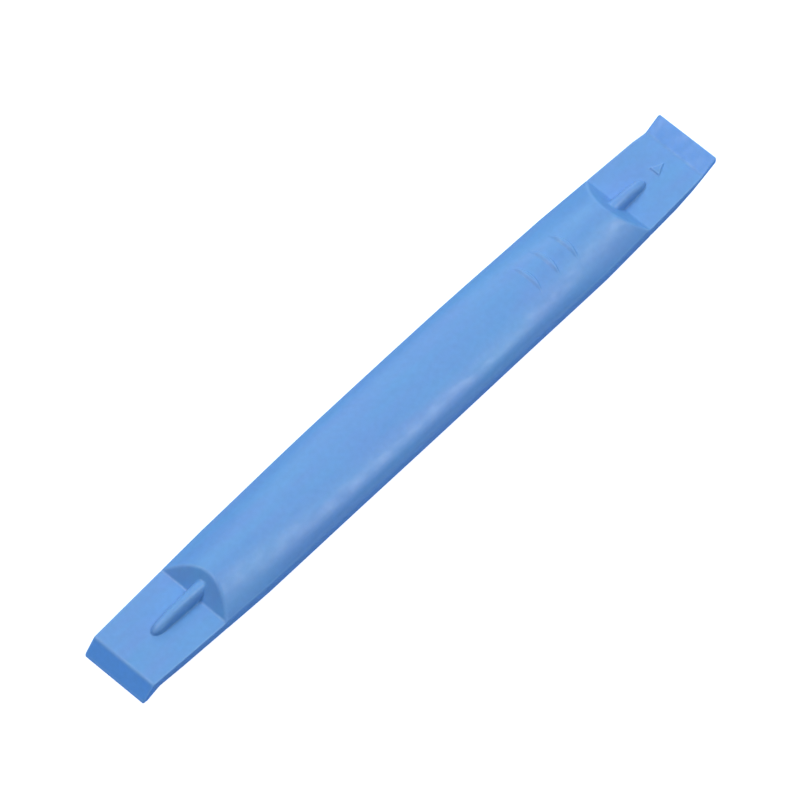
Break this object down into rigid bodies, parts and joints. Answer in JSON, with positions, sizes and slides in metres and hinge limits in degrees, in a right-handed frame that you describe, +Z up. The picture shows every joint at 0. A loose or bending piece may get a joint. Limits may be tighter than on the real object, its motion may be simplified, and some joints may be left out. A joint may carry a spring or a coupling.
{
  "type": "spudger",
  "caption": "Double-ended moulded plastic opening tool: a smooth crowned grip between a flat blade with a hooked lip and a flat blade with a thin chisel lip.",
  "frame": {"origin": "under the middle of the tool, on the surface it rests on", "axes": "+X along the tool from the hooked end to the chisel end, +Y across the grip, +Z up, out of the crowned face"},
  "size_m": [0.085, 0.0098, 0.0045],
  "materials": {
    "blue_plastic": "satin light-blue plastic with a fine moulded grain"
  },
  "bodies": {
    "root": {"moulded_body": "blue_plastic"}
  },
  "joints": []
}
